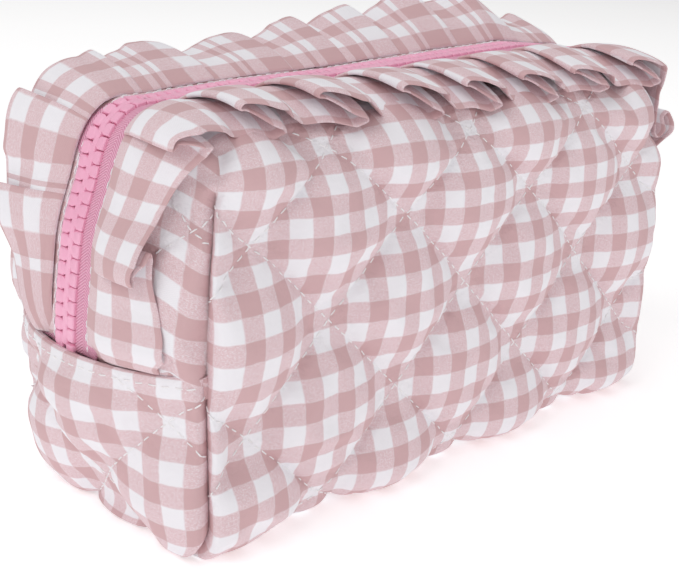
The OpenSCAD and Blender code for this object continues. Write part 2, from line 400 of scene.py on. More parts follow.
def ripple(points, scale, seed):
    # a smooth seeded wobble, the same each run
    waves = 7
    rng = np.random.default_rng(seed)
    total = np.zeros(len(points))
    for _ in range(waves):
        direction = rng.normal(size=3)
        direction /= np.linalg.norm(direction)
        pace = 2 * math.pi / (scale * rng.uniform(0.7, 1.5))
        total += np.sin(points @ direction * pace + rng.uniform(0, 6.28))
    return total / waves


bag = {
    "seamX": 102.5, "halfDepth": 43.0, "height": 124.0, "shoulder": 20.0, "baseEdge": 12.0,
    "bulge": 12.0, "bulgeFrom": 30,       # how far the end walls swell, and the |x| where that starts
    "bulgeFoot": (28, 44),                # heights between which the swelling grows
    "roundFrom": (36, 44),                # depths under the top where the outline starts to round
    "ground": 0.15,                       # the lowest that any cloth lies
    "zipEdge": {-1: 9.4, 1: 5.6},         # how far the fold lies from the zip's middle line
    "hinge": (54.0 - 8.0, 54.0 + 12.0),   # heights between which the wall bends when the bag opens
}
quilt = {
    "columns": 85, "top": 14, "front": 52, "base": 18, "end": 31,
    "repeat": 24,                         # grid steps from one stitch crossing to the next
    "stitchDepth": 2.8, "loft": 3.5, "seamDepth": 4.6,
    "crossing": {-1: (6, 28), 1: (14, 28)}, "endCrossing": (12, 11),
    "seamEnd": (101, 107), "drawnEnd": (102, 108), "rollEnd": (98, 107),   # heights where a corner seam fades
    "rollWide": 5.5, "rollShape": 0.45,   # how the pillows round off beside a seam
    "liningDepth": 6.6,                   # how far the lining lies inside the cover's outline
    # beside a corner seam: grid steps from it, distance away, height, and how strongly the cloth is drawn
    "rollFront": ((1, 0.7, 0.9, 0.9), (2, 3.0, 2.2, 0.6)),
    "rollBack": ((1, 0.7, 0.9, 0.9), (2, 3.0, 2.0, 0.6)),
}


def joinBlend(obj):
    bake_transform(obj)


class Shell:
    # the bag's smooth outline at a depth below its cover, on one side of the zip
    def __init__(self, side, depth=0.0):
        self.edge = bag["zipEdge"][side]
        self.hx = bag["seamX"] - depth
        self.hy = bag["halfDepth"] - depth
        self.top = bag["height"] - depth
        self.floor = depth
        self.r = max(bag["shoulder"] - depth, 6.0)
        self.rb = max(bag["baseEdge"] - depth, 4.0)
        quarter = math.pi / 4
        flatTop = self.hy - self.r - self.edge
        self.marks = np.cumsum([flatTop, self.r * quarter, self.r * quarter,
                                self.top - self.r - self.floor - self.rb, self.rb * quarter,
                                self.rb * quarter, self.hy - self.rb])

    def rows(self):
        m = self.marks
        a = np.linspace(0, m[1], quilt["top"] + 1)
        b = np.linspace(m[1], m[4], quilt["front"] + 1)
        c = np.linspace(m[4], m[6], quilt["base"] + 1)
        return np.concatenate([a, b[1:], c[1:]])

    def side(self, v):
        # box place (y, z) of a distance down the cloth from the zip's edge, on the front
        m, r, rb = self.marks, self.r, self.rb
        if v <= m[0]:
            return -(self.edge + v), self.top
        if v <= m[1]:
            return -(self.hy - r + r * math.tan((v - m[0]) / r)), self.top
        if v <= m[2]:
            return -self.hy, self.top - r + r * math.tan((m[2] - v) / r)
        if v <= m[3]:
            return -self.hy, self.top - r - (v - m[2])
        if v <= m[4]:
            return -self.hy, self.floor + rb - rb * math.tan((v - m[3]) / rb)
        if v <= m[5]:
            return -(self.hy - rb + rb * math.tan((m[5] - v) / rb)), self.floor
        return -(self.hy - rb - (v - m[5])), self.floor

    def shape(self, p):
        # box places to places on the rounded, bulging bag
        p = np.array(p, float)
        hx, hy, r, rb = self.hx, self.hy, self.r, self.rb
        low = p[:, 2] < self.floor + rb
        qy = np.clip(p[:, 1], -hy + rb, hy - rb)
        qz = np.full(len(p), self.floor + rb)
        d = np.stack([p[:, 1] - qy, p[:, 2] - qz], 1)
        n = np.maximum(np.linalg.norm(d, axis=1), 1e-9)
        p[low, 1] = (qy + d[:, 0] / n * rb)[low]
        p[low, 2] = (qz + d[:, 1] / n * rb)[low]
        q = np.stack([np.clip(p[:, 0], -hx + r, hx - r), np.clip(p[:, 1], -hy + r, hy - r),
                      np.minimum(p[:, 2], self.top - r)], 1)
        d = p - q
        n = np.maximum(np.linalg.norm(d, axis=1, keepdims=True), 1e-9)
        full = q + d / n * r
        k = smoothstep(p[:, 2], self.top - bag["roundFrom"][0], self.top - r)[:, None]
        p = np.where(n > 1e-6, p + (full - p) * k, p)
        out = bag["bulge"] * np.clip(1 - (p[:, 1] / hy) ** 2, 0, 1)
        out *= smoothstep(np.abs(p[:, 0]), bag["bulgeFrom"], hx - r) * smoothstep(p[:, 2], *bag["bulgeFoot"])
        p[:, 0] += np.sign(p[:, 0]) * out
        return p


def stepsOf(c, r, crossing):
    # grid steps from the two sets of stitch lines through a crossing
    return (c - crossing[0]) + (r - crossing[1]), (c - crossing[0]) - (r - crossing[1])


def isSewn(c, r, crossing):
    return any(steps % quilt["repeat"] == 0 for steps in stepsOf(c, r, crossing))


def puffOf(c, r, crossing):
    # nothing on a stitch line, one in the middle of a pillow
    one, two = (np.abs(np.sin(np.pi * (steps / quilt["repeat"]))) for steps in stepsOf(c, r, crossing))
    return (one * two) ** 0.55


def addCell(faces, uv, ids, spots, sewn, flip=False):
    # one square of cloth, split along a stitch line where one crosses it
    one, two = (ids[k] in sewn and ids[k + 2] in sewn for k in (0, 1))
    parts = ((0, 1, 2, 3),)
    if one != two:
        parts = ((0, 1, 2), (0, 2, 3)) if one else ((1, 2, 3), (1, 3, 0))
    for part in parts:
        part = part[::-1] if flip else part
        faces.append([ids[k] for k in part])
        uv.extend([spots[k] for k in part])


def buildHalf(side, depth):
    # the cover or lining of one half: top, front wall and half the base, with both upper end walls
    shell = Shell(side, depth)
    nx, ny = quilt["columns"], quilt["top"] + quilt["front"] + quilt["base"]
    nt, ne = quilt["top"], quilt["end"]
    v = shell.rows()
    xs = np.linspace(-shell.hx, shell.hx, nx + 1)
    boxSide = [shell.side(t) for t in v]
    raw, index = [], {}
    for r in range(ny + 1):
        for i in range(nx + 1):
            index[("f", i, r)] = len(raw)
            raw.append((xs[i], *boxSide[r]))
    evenY = -np.linspace(shell.edge, shell.hy, nt + 1)
    for end, column in ((-1, 0), (1, nx)):
        for c in range(nt + 1):
            for k in range(ne + 1):
                if k == 0:
                    index[(end, c, k)] = index[("f", column, c)]
                elif c == nt:
                    index[(end, c, k)] = index[("f", column, nt + k)]
                else:
                    z = boxSide[nt + k][1]
                    share = float(smoothstep(z, shell.top - bag["roundFrom"][1], shell.top - 4))
                    index[(end, c, k)] = len(raw)
                    raw.append((end * shell.hx, boxSide[c][0] * share + evenY[c] * (1 - share), z))
    base = shell.shape(raw)

    # distances along the cloth
    grid = base[:(nx + 1) * (ny + 1)].reshape(ny + 1, nx + 1, 3)
    steps = np.linalg.norm(np.diff(grid, axis=1), axis=2)
    u = np.concatenate([np.zeros((ny + 1, 1)), np.cumsum(steps, axis=1)], axis=1)
    u -= u[:, (nx + 1) // 2][:, None]

    pins = {index[("f", i, r)]: "stitch" for r in range(ny + 1) for i in range(nx + 1)
            if isSewn(i, r, quilt["crossing"][side])}
    for end in (-1, 1):
        for c in range(nt + 1):
            pins.update({index[(end, c, k)]: "stitch" for k in range(ne + 1)
                         if isSewn(c, k, quilt["endCrossing"])})
    faces, uv, flip = [], [], side > 0
    for r in range(ny):
        for i in range(nx):
            cell = ((i, r), (i, r + 1), (i + 1, r + 1), (i + 1, r))
            spots = [(u[b, a], v[b]) for a, b in cell]
            addCell(faces, uv, [index[("f", *k)] for k in cell], spots, pins, flip)
    for end, column in ((-1, 0), (1, nx)):
        for c in range(nt):
            for r in range(ne):
                cell = ((c, r), (c, r + 1), (c + 1, r + 1), (c + 1, r))
                spots = [(u[a, column] + end * (v[nt + b] - v[nt]), v[a]) for a, b in cell]
                addCell(faces, uv, [index[(end, *k)] for k in cell], spots, pins, flip == (end < 0))
    return {"index": index, "base": base, "faces": faces, "uv": uv, "pins": pins,
            "nx": nx, "ny": ny, "nt": nt, "ne": ne, "side": side, "v": v}


def mirrorSide(points, side):
    points = np.array(points, float)
    if side > 0:
        points[:, 1] *= -1
    return points


def aboveGround(points):
    points[:, 2] = np.maximum(points[:, 2], bag["ground"])
    return points


def edgeSink(v):
    # how far the cover lies below its outline at a distance from the zip's edge
    return 2.5 * (1 - smoothstep(v, 0, 10))


# the turned edge that runs along the zip: (towards the middle, below the cover) for each row
fold = {
    "cover": ((0.35, 0.25), (0.15, 0.6), (-1.6, 0.75), (-4.4, 0.8)),
    "lining": ((0.3, -0.8), (-1.4, -1.6)),
    "step": 1.2,
}


def foldRows(half, profile):
    idx, nx, ne = half["index"], half["nx"], half["ne"]
    keys = [(-1, 0, k) for k in range(ne, 0, -1)] + [("f", i, 0) for i in range(nx + 1)]
    edge = [idx[key] for key in keys + [(1, 0, k) for k in range(1, ne + 1)]]
    places = half["points"][edge]
    run = np.gradient(places, axis=0)
    out = np.stack([-run[:, 2], np.zeros(len(run)), run[:, 0]], 1)
    out /= np.maximum(np.linalg.norm(out, axis=1, keepdims=True), 1e-9)
    length = np.concatenate([[0], np.cumsum(np.linalg.norm(np.diff(places, axis=0), axis=1))])
    length -= length[len(length) // 2]
    previous, total, deep = edge, list(half["points"]), 0.0
    for inwards, below in profile:
        new = []
        for j in range(len(edge)):
            new.append(len(total))
            total.append(places[j] - out[j] * below + np.array([0, inwards, 0]))
            half["pins"][new[-1]] = "edge"
        under = deep + fold["step"]
        for j in range(len(edge) - 1):
            face = [previous[j], previous[j + 1], new[j + 1], new[j]]
            spots = [(length[a], -b) for a, b in ((j, deep), (j + 1, deep), (j + 1, under), (j, under))]
            turn = -1 if half["side"] > 0 else 1
            half["faces"].append(face[::turn])
            half["uv"].extend(spots[::turn])
        previous, deep = new, under
    half["points"] = np.array(total)
    return half


def fadeOf(z, heights):
    # one where a corner seam holds, nothing where it has faded out towards the top
    return 1 - float(smoothstep(z, *heights))


def puffHalf(half, seed, inside=False):
    # lays the stitched valleys and the filled pillows over the smooth outline
    base, idx, v, side = half["base"], half["index"], half["v"], half["side"]
    nx, ny, nt, ne = half["nx"], half["ny"], half["nt"], half["ne"]
    normal = normalsOf(base, [f if side < 0 else f[::-1] for f in half["faces"]])
    rise = np.zeros(len(base))
    shift = np.zeros((len(base), 3))
    depth, loft = (quilt["stitchDepth"], quilt["loft"]) if not inside else (-0.6, -2.6)
    gap = 205.0 / nx
    wobble = 1 + 0.16 * ripple(base, 70, seed) + 0.1 * ripple(base, 26, seed + 1)
    i = np.arange(nx + 1)
    for r in range(ny + 1):
        nearZip = float(smoothstep(v[r], 1.5, 7)), float(smoothstep(v[r], 14, 44))
        seamed = fadeOf(base[idx[("f", 0, r)]][2], quilt["seamEnd"])
        away = np.minimum(i, nx - i) * gap
        edge = 1 - seamed * (1 - np.clip(away / quilt["rollWide"], 0, 1) ** quilt["rollShape"])
        middle = min(1.0, (ny - r) * 2.24 / 7) ** 0.5
        puff = puffOf(i, r, quilt["crossing"][side])
        height = -depth + (depth + loft * nearZip[1]) * puff * edge * middle
        height = height * nearZip[0] - (0 if inside else edgeSink(v[r]))
        rise[[idx[("f", q, r)] for q in i]] = height
    for end in (-1, 1):
        for c in range(nt):
            for k in range(1, ne + 1):
                n = idx[(end, c, k)]
                z = base[n][2]
                puff = puffOf(c, k, quilt["endCrossing"])
                away = (nt - c) * 2.5
                rounded = min(1.0, away / quilt["rollWide"]) ** quilt["rollShape"]
                edge = 1 - fadeOf(z, quilt["seamEnd"]) * (1 - rounded)
                low = float(smoothstep(z, 50, 58))
                nearZip = float(smoothstep(v[c], 1.5, 7)), 0.1 + 0.6 * float(smoothstep(v[c], 16, 30))
                rise[n] = (-depth + (depth + loft * nearZip[1] * 0.85) * puff * edge * low) * nearZip[0]
                rise[n] -= (1 - low) * (1.6 if not inside else -0.5)
                rise[n] -= 0 if inside else edgeSink(v[c])
    # the corner seams, drawn in until the cloth rounds off near the top
    for end, column, inner in ((-1, 0, 3), (1, nx, nx - 3)):
        for r in range(nt, ny + 1):
            n = idx[("f", column, r)]
            seamed = fadeOf(base[n][2], quilt["drawnEnd"])
            front = normal[idx[("f", inner, r)]].copy()
            front[0] = 0
            front /= max(np.linalg.norm(front), 1e-9)
            pull = -(front + np.array([end, 0, 0])) / math.sqrt(2) * quilt["seamDepth"]
            if inside:
                pull = pull * 0.2
            shift[n] = pull * seamed + normal[n] * rise[n] * (1 - seamed)
            if seamed > 0.3:
                half["pins"][n] = "seam"
    loose = np.linalg.norm(shift, axis=1) < 1e-9
    rise *= wobble
    points = base + np.where(loose[:, None], normal * rise[:, None], shift)
    if not inside:
        # the cloth rolls over close beside each corner seam
        for end, column, step in ((-1, 0, 1), (1, nx, -1)):
            for r in range(nt + 1, ny + 1):
                corner, k = base[idx[("f", column, r)]], r - nt
                seamed = fadeOf(corner[2], quilt["rollEnd"])
                for hop, away, up, share in quilt["rollFront"]:
                    n = idx[("f", column + step * hop, r)]
                    outward = normal[idx[("f", column + 3 * step, r)]]
                    want = corner + np.array([step * away, 0, 0]) + outward * up
                    points[n] += (want - points[n]) * seamed * share
                for hop, away, up, share in quilt["rollBack"] if k <= ne else ():
                    n = idx[(end, nt - hop, k)]
                    want = corner + np.array([end * (up + away * 0.5), away, 0])
                    points[n] += (want - points[n]) * seamed * share
            # a small pinched fold where the seam ends
            tip = np.array([end * 100.5, -41.5, 106.5])
            far = np.linalg.norm((base - tip) * np.array([1, 1, 0.8]), axis=1)
            points += normal * (2.2 * np.exp(-(far / 4.2) ** 2))[:, None]
        points = aboveGround(points)
    edges = [("f", i, r) for i in range(nx + 1) for r in (0, 1, ny)]
    edges += [(end, c, ne) for end in (-1, 1) for c in range(nt + 1)]
    edges += [(end, c, k) for end in (-1, 1) for k in range(ne + 1) for c in (0, 1)]
    for key in edges:
        half["pins"].setdefault(idx[key], "edge")
    half["points"] = points
    return half


def inflate(obj, pinned, pressure, cap=5.0, frames=16):
    start = pointsOf(obj)
    group = obj.vertex_groups.new(name="sewn")
    group.add([int(i) for i in pinned], 1.0, "REPLACE")
    m = obj.modifiers.new("filling", "CLOTH")
    s = m.settings
    s.quality = 5
    s.mass = 0.2
    s.air_damping = 2.0
    s.tension_stiffness = s.compression_stiffness = 18
    s.shear_stiffness = 6
    s.bending_stiffness = 0.12
    s.tension_damping = s.compression_damping = 8
    s.use_pressure = True
    s.uniform_pressure_force = pressure
    s.vertex_group_mass = "sewn"
    s.shrink_min = -0.035
    s.effector_weights.gravity = 0
    m.collision_settings.use_collision = False
    m.collision_settings.use_self_collision = False
    m.point_cache.frame_start, m.point_cache.frame_end = 1, frames
    for f in range(1, frames + 1):
        bpy.context.scene.frame_set(f)
    done = obj.evaluated_get(bpy.context.evaluated_depsgraph_get())
    co = np.zeros(len(done.data.vertices) * 3)
    done.data.vertices.foreach_get("co", co)
    co = co.reshape(-1, 3) / mm
    obj.modifiers.remove(m)
    obj.vertex_groups.remove(group)
    bpy.context.scene.frame_set(1)
    moved = co - start
    length = np.maximum(np.linalg.norm(moved, axis=1, keepdims=True), 1e-9)
    print(obj.name, "settled by", round(float(length.max()), 1), "mm at most,",
          round(float(length.mean()), 2), "on average")
    moved *= np.minimum(1.0, cap / length)
    moved[~np.isfinite(moved).all(axis=1)] = 0
    setPoints(obj, aboveGround(start + moved))


def markSewn(obj, stitched, seam, reach=7.0):
    # keeps the seams sharp, and marks how near each point is to a line of stitching
    co = pointsOf(obj)
    seam = set(seam)
    crease = obj.data.attributes.new("crease_edge", "FLOAT", "EDGE")
    crease.data.foreach_set("value", [1.0 if e.vertices[0] in seam and e.vertices[1] in seam else 0.0
                                      for e in obj.data.edges])
    tree = KDTree(len(stitched))
    for n, i in enumerate(stitched):
        tree.insert(co[i], n)
    tree.balance()
    near = np.array([tree.find(c)[2] for c in co])
    mark = obj.data.attributes.new("pucker", "FLOAT", "POINT")
    mark.data.foreach_set("value", (1 - smoothstep(near, 0.5, reach)).astype(np.float32))


coverPieces = {}
for side, word in sides:
    half = foldRows(puffHalf(buildHalf(side, 0.0), 11 + side), fold["cover"])
    cover = makeMesh(word + "_quilt", mirrorSide(half["points"], side), half["faces"], gingham, half["uv"])
    inflate(cover, sorted(half["pins"]), 1.9)
    half["final"] = pointsOf(cover)
    markSewn(cover, [i for i, k in half["pins"].items() if k != "edge"],
             [i for i, k in half["pins"].items() if k == "seam"])
    subdivide(cover)
    coverPieces[word] = (cover, half)
    print(word, "quilt ready")

# the lining, quilted through with the same rows, fuller towards the inside
for side, word in sides:
    half = foldRows(puffHalf(buildHalf(side, quilt["liningDepth"]), 31 + side, True), fold["lining"])
    corners, at = [], 0
    for f in half["faces"]:
        corners.extend(half["uv"][at:at + len(f)][::-1])
        at += len(f)
    turned = [f[::-1] for f in half["faces"]]
    inner = makeMesh(word + "_inner_quilt", mirrorSide(half["points"], side), turned, lining, corners)
    subdivide(inner)
    joinBlend(inner)
    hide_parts(word + "_lining", *(["base_lining"] if side < 0 else []))
print("lining ready")

panel = {
    "across": 36, "down": 27, "crossing": (4, 6),
    "loft": 3.2, "hemTop": 55.2, "hemStand": 0.1, "sag": 1.0,
    "hemFold": ((0.7, 0.35), (1.9, 0.3), (3.3, -0.5), (3.5, -6.0)),   # inwards and up, row by row
    "foldStep": 1.5,
    "clothWide": 88, "clothShift": 3,     # the cloth's width and how far its pattern is moved
    "foot": (-8, 32),                     # heights between which the wall's swelling grows
}


def panelAt(c, r):
    return r * (panel["across"] + 1) + c


def buildPanel(end, depth=0.0, inside=False):
    # a lower end wall, which curves under onto the base; the inside one is its lining
    na, nd, crossing = panel["across"], panel["down"], panel["crossing"]
    top = panel["hemTop"] - (1.8 if inside else 0.0)
    half, rb = bag["halfDepth"] - depth, max(bag["baseEdge"] - depth, 4.0)
    low = depth + rb
    flat = top - low
    drops = np.linspace(0, flat + rb * math.pi / 2, nd + 1)

    def place(a, t):
        # a runs from -1 to 1 across the wall, t down the cloth from the hem
        theta = max(0.0, (t - flat) / rb)
        z = top - t if t <= flat else low - rb * math.sin(theta)
        width, g = half - rb + rb * math.cos(theta), math.cos(theta)
        swell = bag["bulge"] * (1 - a * a) * g * smoothstep(z, *panel["foot"])
        return np.array([end * (bag["seamX"] - depth + swell), a * width, z])

    def clothX(c):
        return (c / na - 0.5) * panel["clothWide"] - panel["clothShift"]

    points = np.array([place(-1 + 2 * c / na, t) for t in drops for c in range(na + 1)])
    stitched = {panelAt(c, r) for r in range(nd + 1) for c in range(na + 1) if isSewn(c, r, crossing)}
    faces, uv, turned = [], [], (end < 0) != inside
    for r in range(nd):
        for c in range(na):
            cell = ((c, r), (c, r + 1), (c + 1, r + 1), (c + 1, r))[::-1 if turned else 1]
            spots = [(clothX(a), -drops[b]) for a, b in cell]
            addCell(faces, uv, [panelAt(*k) for k in cell], spots, stitched)
    normal = normalsOf(points, faces)
    wobble = 1 + 0.2 * ripple(points, 60, 5 + end)
    moved, pinned = points.copy(), []
    depthIn, loft = (quilt["stitchDepth"], panel["loft"]) if not inside else (0.3, 2.0)
    for r in range(nd + 1):
        theta = max(0.0, (drops[r] - flat) / rb)
        nearHem = float(smoothstep(drops[r], 1.0, 9.0))
        for c in range(na + 1):
            n, side = panelAt(c, r), -1 if c < na / 2 else 1
            edge = min(1.0, min(c, na - c) * 2.39 / quilt["rollWide"]) ** quilt["rollShape"]
            edge *= min(1.0, (nd - r) * 2.25 / 6) ** 0.5
            height = -depthIn + (depthIn + loft) * float(puffOf(c, r, crossing)) * edge
            height = height * nearHem + (1 - nearHem) * (panel["hemStand"] if not inside else 0.0)
            if not inside:
                # a soft crease across the wall
                height -= math.exp(-((drops[r] - 20) / 2.2) ** 2) * float(smoothstep(points[n][1], -20, 10))
            moved[n] = points[n] + normal[n] * height * wobble[n]
            if c in (0, na) or r == nd:
                pinned.append(n)
                front = np.array([0, 0, -1.0])
                if c in (0, na):
                    front = np.array([0, side * math.cos(theta), -math.sin(theta)])
                pull = (quilt["seamDepth"] - 0.2) if not inside else -0.3
                moved[n] = points[n] - (front + np.array([end, 0, 0])) / math.sqrt(2) * pull
            elif c in (1, na - 1) and not inside:
                corner = points[panelAt(c + side, r)]
                want = corner + np.array([end * 1.3, -side * 0.8 * math.cos(theta), 0.8 * math.sin(theta)])
                moved[n] += (want - moved[n]) * 0.9
    pinned += list(stitched) + [panelAt(c, r) for c in range(na + 1) for r in (0, 1)]
    # the hem's fold, turned to the inside
    extra, previous = list(moved), list(range(na + 1))
    for inwards, up in panel["hemFold"] if not inside else ():
        new = [len(extra) + c for c in range(na + 1)]
        extra.extend(moved[c] + np.array([-end * inwards, 0, up]) for c in range(na + 1))
        pinned += new
        for c in range(na):
            ids = [previous[c], new[c], new[c + 1], previous[c + 1]]
            spots = [(clothX(a), h * panel["foldStep"]) for a, h in ((c, 0), (c, 1), (c + 1, 1), (c + 1, 0))]
            faces.append(ids if turned else ids[::-1])
            uv.extend(spots if turned else spots[::-1])
        previous = new
    # the hem sags a little between its corners
    extra = np.array(extra)
    extra[:, 2] -= panel["sag"] * (1 - (extra[:, 1] / 43) ** 2) * smoothstep(extra[:, 2], 40, 54)
    return aboveGround(extra), faces, uv, pinned, stitched


for end, word in ends:
    points, faces, uv, pinned, stitched = buildPanel(end, quilt["liningDepth"], True)
    piece = makeMesh(word + "_end_inner_quilt", points, faces, lining, uv)
    subdivide(piece)
    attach(piece, "base")
panels = {}
for end, word in ends:
    points, faces, uv, pinned, stitched = buildPanel(end)
    piece = makeMesh(word + "_end_quilt", points, faces, gingham, uv)
    inflate(piece, sorted(set(pinned)), 2.2, cap=4.0)
    panels[word] = (piece, pointsOf(piece))
    markSewn(piece, sorted(stitched), [])
    subdivide(piece)
    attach(piece, "base")
    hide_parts(word + "_end_panel")
print("end walls ready")

tapeLow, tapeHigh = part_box("front_zip_tape")
zipLine = {
    "x": tapeHigh.x / mm - 0.35, "top": tapeHigh.z / mm - 0.35, "start": 54.0, "turn": 14.65,
    "pitch": 3.8, "count": 89, "margin": 4.3, "cover": 3.35,
}
rise = zipLine["top"] - zipLine["turn"] - zipLine["start"]
bend = zipLine["turn"] * math.pi / 2
pathLength = 2 * (rise + bend) + 2 * (zipLine["x"] - zipLine["turn"])


def onPath(s):
    # place on the zip's middle line, direction along it and direction out of the bag, for many distances
    s = np.atleast_1d(np.asarray(s, float))
    flip = s > pathLength / 2
    run = np.where(flip, pathLength - s, s)
    angle = np.clip((run - rise) / zipLine["turn"], 0, math.pi / 2)
    x = -(zipLine["x"] - zipLine["turn"]) - zipLine["turn"] * np.cos(angle) + np.maximum(0, run - rise - bend)
    z = zipLine["start"] + np.minimum(run, rise) + zipLine["turn"] * np.sin(angle)
    out = np.stack([-np.cos(angle), 0 * x, np.sin(angle)], 1)
    along = np.stack([np.sin(angle), 0 * x, np.cos(angle)], 1)
    x, out[:, 0] = np.where(flip, -x, x), np.where(flip, -out[:, 0], out[:, 0])
    along[:, 2] = np.where(flip, -along[:, 2], along[:, 2])
    return np.stack([x, 0 * x, z], 1), along, out

def weave(rows, columns, spot, flip, first=0):
    # the squares of a grid whose points run row by row, and each corner's place on the cloth
    faces, uv = [], []
    for r in range(rows - 1):
        for c in range(columns - 1):
            cell = ((r, c), (r + 1, c), (r + 1, c + 1), (r, c + 1))[::-1 if flip else 1]
            faces.append([first + a * columns + b for a, b in cell])
            uv.extend(spot(a, b) for a, b in cell)
    return faces, uv


tapeSize = {
    "thick": 0.6,
    # distance from the zip's middle line and distance outwards, across the tape
    "profile": ((0.25, -0.5), (3.6, -0.5), (4.4, 0.1), (6.5, 0.1), (9.0, -0.1), (13.0, -0.2)),
}
stations = np.concatenate([np.arange(0.3, rise, 4.0), np.linspace(rise, rise + bend, 9),
                           np.arange(rise + bend + 4, pathLength - rise - bend, 6.0),
                           np.linspace(pathLength - rise - bend, pathLength - rise, 9),
                           np.arange(pathLength - rise + 4, pathLength - 0.3, 4.0), [pathLength - 0.3]])
for side, word in sides:
    middle, along, out = onPath(stations)
    profile = tapeSize["profile"]
    points = np.concatenate([middle + out * up + np.array([0, side * y, 0]) for y, up in profile])
    faces, uv = weave(len(profile), len(stations), lambda r, c: (profile[r][0], stations[c]), side > 0)
    tape = makeMesh(word + "_tape", points, faces, tapeWeave, uv)
    thicken(tape, tapeSize["thick"])
    joinBlend(tape)
    word + "_quilt"
    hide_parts(word + "_zip_tape")
print("tape ready")


def startBox(size, away=0.0):
    # a box in edit mode, its size and its distance along +Y in millimetres
    bpy.ops.mesh.primitive_cube_add(size=1, location=(0, away * mm, 0))
    obj = bpy.context.object
    obj.scale = [s * mm for s in size]
    bpy.ops.object.transform_apply(location=True, scale=True)
    bpy.ops.object.mode_set(mode="EDIT")
    return obj


def editFaces(chosen):
    # selects the faces that a test on their centre and normal picks, in edit mode
    obj = bpy.context.edit_object
    bpy.ops.mesh.select_mode(type="FACE")
    bpy.ops.mesh.select_all(action="DESELECT")
    bpy.ops.object.mode_set(mode="OBJECT")
    for f in obj.data.polygons:
        f.select = bool(chosen(Vector(f.center), Vector(f.normal)))
    bpy.ops.object.mode_set(mode="EDIT")


def takeTemplate(obj):
    # the finished shape's points and faces, in millimetres, for copying
    world = np.array(obj.matrix_world)
    co = np.array([v.co for v in obj.data.vertices]) @ world[:3, :3].T + world[:3, 3]
    faces = [list(f.vertices) for f in obj.data.polygons]
    bpy.data.objects.remove(obj)
    return co / mm, faces


def strew(name, template, places, material, smooth=True, lean=True):
    points, faces = template
    total, allFaces = [], []
    for place in places:
        first = len(total) * len(points)
        total.append(points @ place[:3, :3].T + place[:3, 3])
        allFaces.extend([[i + first for i in f] for f in faces])
    obj = makeMesh(name, np.concatenate(total), allFaces, material, lean=lean)
    if not smooth:
        only(obj)
        bpy.ops.object.shade_smooth_by_angle(angle=math.radians(40))
    return obj


def standing(origin, x, y, z):
    place = np.eye(4)
    place[:3, 0], place[:3, 1], place[:3, 2], place[:3, 3] = x, y, z, origin
    return place


def zipPlaces(side, s):
    # where things stand on the zip at distances along it, facing out of the bag
    middle, along, out = onPath(s)
    y = np.array([0, side, 0.0])
    return [standing(m, np.cross(y, o), y, o) for m, o in zip(middle, out)]


toothSize = {
    "foot": (3.55, 2.5, 2.5), "away": 3.2, "bevel": 0.3,
    # how far the tooth reaches and how its width changes, step by step towards its head
    "steps": ((0.7, 0.7), (1.0, 1.25), (1.0, 0.95), (0.5, 0.6)),
}


def toothTemplate():
    # stands with its foot away from the middle and its head towards -Y
    obj = startBox(toothSize["foot"], toothSize["away"])
    for step, wide in toothSize["steps"]:
        editFaces(lambda c, n: n.y < -0.9)
        bpy.ops.mesh.extrude_region_move(TRANSFORM_OT_translate={"value": (0, -step * mm, 0)})
        bpy.ops.transform.resize(value=(wide, 1, 1 if step > 0.8 else 0.8))
    bpy.ops.mesh.select_all(action="SELECT")
    bpy.ops.mesh.bevel(offset=toothSize["bevel"] * mm, segments=1, affect="EDGES")
    bpy.ops.object.mode_set(mode="OBJECT")
    return takeTemplate(obj)


tooth = toothTemplate()
for side, word in sides:
    half = 0.5 if side > 0 else 0
    s = zipLine["margin"] + (np.arange(zipLine["count"] + round(2 * half)) - half) * zipLine["pitch"]
    teeth = strew(word + "_teeth", tooth, zipPlaces(side, s), moulded, False)
    joinBlend(teeth)
    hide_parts(word + "_zip_teeth")
print("teeth ready")

stopSize = {"long": 3.0, "wide": 3.4, "thick": 2.6, "away": 2.5, "bevel": 0.5, "hollow": (0.45, 0.2)}


def stopTemplate():
    obj = startBox((stopSize["long"], stopSize["wide"], stopSize["thick"]), stopSize["away"])
    bpy.ops.mesh.bevel(offset=stopSize["bevel"] * mm, segments=2, affect="EDGES")
    editFaces(lambda c, n: abs(n.z) > 0.9)
    bpy.ops.mesh.inset(thickness=stopSize["hollow"][0] * mm, depth=-stopSize["hollow"][1] * mm)
    bpy.ops.object.mode_set(mode="OBJECT")
    return takeTemplate(obj)


stopShape = stopTemplate()
for side, word in sides:
    stops = strew(word + "_stops", stopShape, zipPlaces(side, [0.2, pathLength - 0.2]), moulded, False)
    joinBlend(stops)
    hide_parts(word + "_zip_stops")

stitch = {"long": 2.4, "gap": 1.25, "radius": 0.22, "stand": 0.12, "back": 0.4}


def stitchTemplate():
    # one visible stitch, a short strand whose ends dive into the cloth
    radius, depth = stitch["radius"] * mm, 0.6 * stitch["long"] * mm
    bpy.ops.mesh.primitive_cylinder_add(vertices=6, radius=radius, depth=depth, rotation=(0, math.pi / 2, 0),
                                        end_fill_type="NGON")
    obj = bpy.context.object
    bpy.ops.object.transform_apply(location=True, rotation=True, scale=True)
    bpy.ops.object.mode_set(mode="EDIT")
    for way in (-1, 1):
        editFaces(lambda c, n: n.x * way > 0.9)
        bpy.ops.mesh.extrude_region_move(
            TRANSFORM_OT_translate={"value": (way * 0.2 * stitch["long"] * mm, 0, -0.28 * mm)})
        bpy.ops.transform.resize(value=(1, 0.5, 0.5))
    bpy.ops.object.mode_set(mode="OBJECT")
    return takeTemplate(obj)


strand = stitchTemplate()


def surfaceOf(obj):
    return BVHTree.FromPolygons([Vector(v.co) / mm for v in obj.data.vertices],
                                [list(f.vertices) for f in obj.data.polygons])


